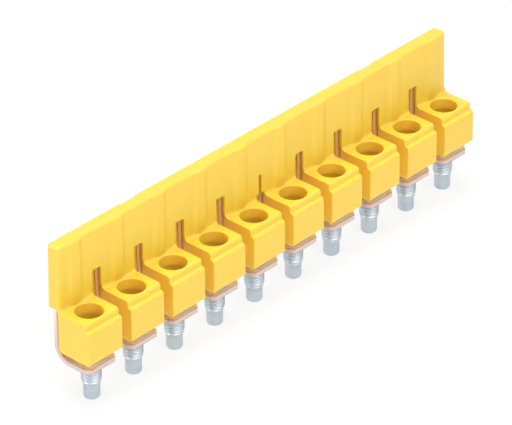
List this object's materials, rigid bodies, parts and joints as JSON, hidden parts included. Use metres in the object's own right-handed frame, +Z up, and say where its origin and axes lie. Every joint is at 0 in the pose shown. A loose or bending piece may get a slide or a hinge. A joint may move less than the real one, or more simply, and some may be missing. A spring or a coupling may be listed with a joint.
{
  "type": "terminal block jumper bar",
  "caption": "Insulated screw-type jumper bar that bridges a row of neighbouring terminal blocks, with a yellow moulding, screwdriver sleeves and a copper comb.",
  "frame": {"origin": "centre of the bar's bounding box", "axes": "+X along the row of poles, +Y from the screwdriver sleeves towards the back of the fin, +Z up from the feet to the top of the fin"},
  "size_m": [0.0972, 0.0092, 0.0288],
  "materials": {
    "yellow_plastic": "satin moulded polyamide, warm yellow",
    "copper": "bare rolled copper with sheared edges",
    "zinc_steel": "blue-bright zinc plating"
  },
  "bodies": {
    "root": {"insulating_housing": "yellow_plastic", "contact_comb": "copper", "screw_01": "zinc_steel", "screw_02": "zinc_steel", "screw_03": "zinc_steel", "screw_04": "zinc_steel", "screw_05": "zinc_steel", "screw_06": "zinc_steel", "screw_07": "zinc_steel", "screw_08": "zinc_steel", "screw_09": "zinc_steel", "screw_10": "zinc_steel"}
  },
  "joints": []
}
